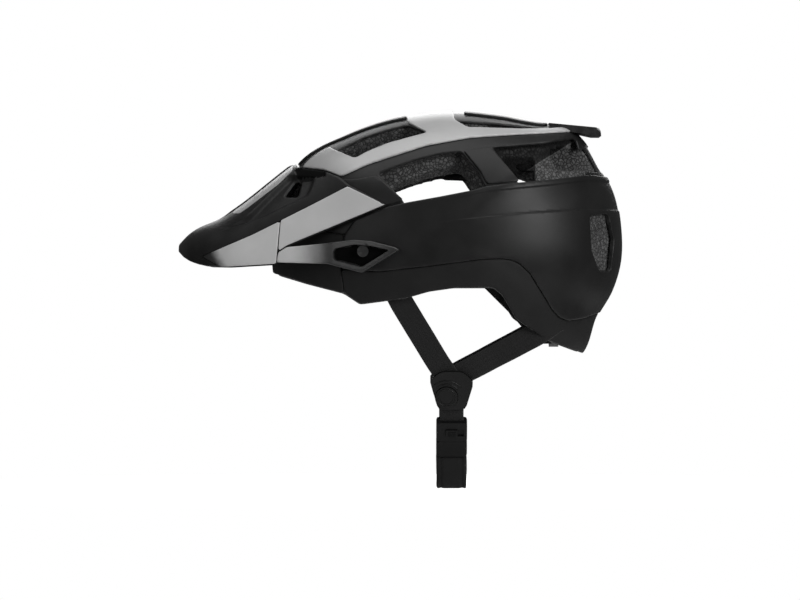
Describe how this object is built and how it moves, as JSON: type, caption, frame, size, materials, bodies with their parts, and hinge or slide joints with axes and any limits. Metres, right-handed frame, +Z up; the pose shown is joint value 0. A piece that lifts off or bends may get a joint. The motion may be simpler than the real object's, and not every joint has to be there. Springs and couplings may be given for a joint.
{
  "type": "cycling helmet",
  "caption": "Open-face trail cycling helmet with a tilting peak, vented foam body, layered skins, chin strap with splitters and a dial fit system.",
  "frame": {"origin": "centre of the flat underside of the crown pad, where the top of the head touches", "axes": "+Z up, front of the helmet towards -X, wearer's left towards -Y"},
  "size_m": [0.377, 0.2254, 0.3207],
  "materials": {
    "foam": "moulded bead foam",
    "satin_black": "satin",
    "matte_black": "matte",
    "light_grey": "satin",
    "nylon_web": "woven",
    "pad_cloth": "brushed knit over foam",
    "soft_rubber": "matte",
    "black_metal": "dark plated"
  },
  "bodies": {
    "helmet": {"foam_liner": "foam", "upper_frame": "satin_black", "top_panel": "light_grey", "spine_front": "satin_black", "spine_rear": "satin_black", "tail_spoiler": "satin_black", "belt_panel": "satin_black", "lower_wrap": "matte_black", "brow_panel": "matte_black", "height_rail": "matte_black", "brow_pad": "pad_cloth", "crown_pad": "pad_cloth", "lower_strap_left": "nylon_web", "chin_strap": "nylon_web", "chin_pad": "pad_cloth", "strap_keeper": "soft_rubber", "buckle_base": "satin_black", "buckle_plug": "satin_black", "front_rib_left": "satin_black", "front_rib_right": "satin_black", "slanted_rib_left": "satin_black", "slanted_rib_right": "satin_black", "pivot_bush_left": "black_metal", "pivot_bush_right": "black_metal", "headband_arm_left": "matte_black", "headband_arm_right": "matte_black", "temple_anchor_left": "matte_black", "temple_anchor_right": "matte_black", "temple_pad_left": "pad_cloth", "temple_pad_right": "pad_cloth", "top_side_pad_left": "pad_cloth", "top_side_pad_right": "pad_cloth", "front_strap_left": "nylon_web", "front_strap_right": "nylon_web", "rear_strap_left": "nylon_web", "rear_strap_right": "nylon_web", "splitter_body_left": "satin_black", "splitter_body_right": "satin_black"},
    "visor": {"visor_body": "satin_black", "visor_side_panel_left": "light_grey", "visor_side_panel_right": "light_grey", "visor_rear_panel_left": "light_grey", "visor_rear_panel_right": "light_grey", "visor_arm_left": "satin_black", "visor_arm_right": "satin_black", "visor_centre_insert_left": "light_grey", "visor_centre_insert_right": "light_grey"},
    "screw_left": {"pivot_screw_left": "black_metal"},
    "screw_right": {"pivot_screw_right": "black_metal"},
    "cradle": {"occipital_cradle": "satin_black", "dial_housing": "satin_black", "rear_pad_left": "pad_cloth", "rear_pad_right": "pad_cloth"},
    "dial": {"fit_dial": "light_grey"},
    "rack_left": {"fit_rack_left": "satin_black"},
    "rack_right": {"fit_rack_right": "satin_black"},
    "cam_left": {"splitter_cam_left": "satin_black"},
    "cam_right": {"splitter_cam_right": "satin_black"},
    "buckle_release": {"buckle_slider": "light_grey"}
  },
  "joints": [
    {"name": "visor_tilt", "type": "hinge", "parent": "helmet", "child": "visor", "pos_m": [-0.073, 0, -0.0825], "axis": [0, 1, 0], "range_deg": [-14, 0]},
    {"name": "screw_turn_left", "type": "hinge", "parent": "helmet", "child": "screw_left", "pos_m": [-0.073, -0.1005, -0.0825], "axis": [0, 1, 0], "continuous": true},
    {"name": "screw_turn_right", "type": "hinge", "parent": "helmet", "child": "screw_right", "pos_m": [-0.073, 0.1005, -0.0825], "axis": [0, 1, 0], "continuous": true},
    {"name": "cradle_height", "type": "slide", "parent": "helmet", "child": "cradle", "axis": [0, 0, 1], "range_m": [-0.006, 0.006]},
    {"name": "fit_dial_turn", "type": "hinge", "parent": "cradle", "child": "dial", "pos_m": [0.08444, 0, -0.148], "axis": [1, 0, 0], "range_deg": [0, 81]},
    {"name": "fit_rack_slide_left", "type": "slide", "parent": "cradle", "child": "rack_left", "axis": [0, 1, 0], "range_m": [0, 0.006]},
    {"name": "fit_rack_slide_right", "type": "slide", "parent": "cradle", "child": "rack_right", "axis": [0, -1, 0], "range_m": [0, 0.006]},
    {"name": "splitter_cam_flip_left", "type": "hinge", "parent": "helmet", "child": "cam_left", "pos_m": [-0.003, -0.06812, -0.1964], "axis": [-1, 0, 0], "range_deg": [0, 90]},
    {"name": "splitter_cam_flip_right", "type": "hinge", "parent": "helmet", "child": "cam_right", "pos_m": [-0.003, 0.06812, -0.1964], "axis": [1, 0, 0], "range_deg": [0, 90]},
    {"name": "buckle_release_slide", "type": "slide", "parent": "helmet", "child": "buckle_release", "axis": [1, 0, 0], "range_m": [0, 0.005], "stiffness_N_per_m": 300}
  ],
  "couplings": [
    {"joint": "fit_rack_slide_left", "follows": "fit_dial_turn", "m_per_rad": 0.0042},
    {"joint": "fit_rack_slide_right", "follows": "fit_dial_turn", "m_per_rad": 0.0042}
  ]
}
